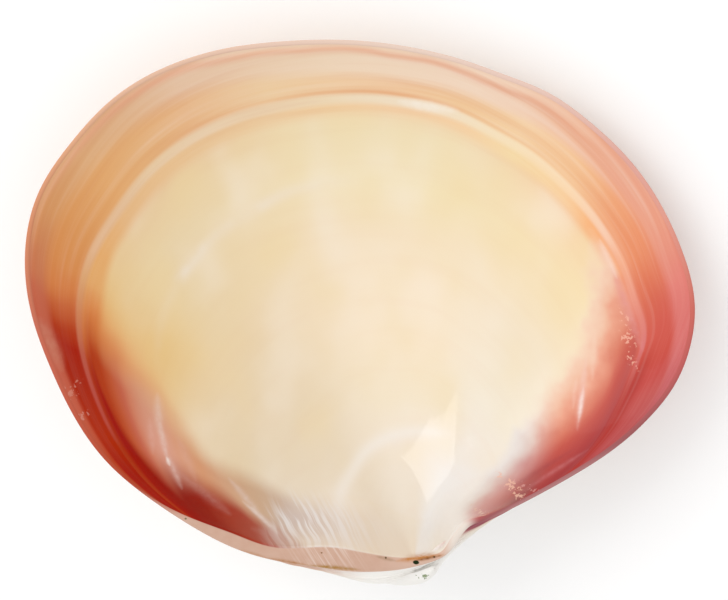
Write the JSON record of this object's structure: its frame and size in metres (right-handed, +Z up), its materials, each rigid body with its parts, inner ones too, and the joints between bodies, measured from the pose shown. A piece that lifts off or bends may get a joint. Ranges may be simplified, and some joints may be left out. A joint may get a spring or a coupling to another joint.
{
  "type": "seashell valve",
  "caption": "Single rounded clam valve with a polished hollow, a narrow hinge shelf at one edge and a convex back with a curled beak.",
  "frame": {"origin": "centre of the bounding box, on the surface that the valve lies on", "axes": "+X towards the front end of the animal, +Y towards the belly margin, +Z up out of the hollow"},
  "size_m": [0.0798, 0.065, 0.0221],
  "materials": {
    "shell": "polished inside, satin outside, cream in the middle with orange and red towards the lip"
  },
  "bodies": {
    "root": {"valve": "shell"}
  },
  "joints": []
}
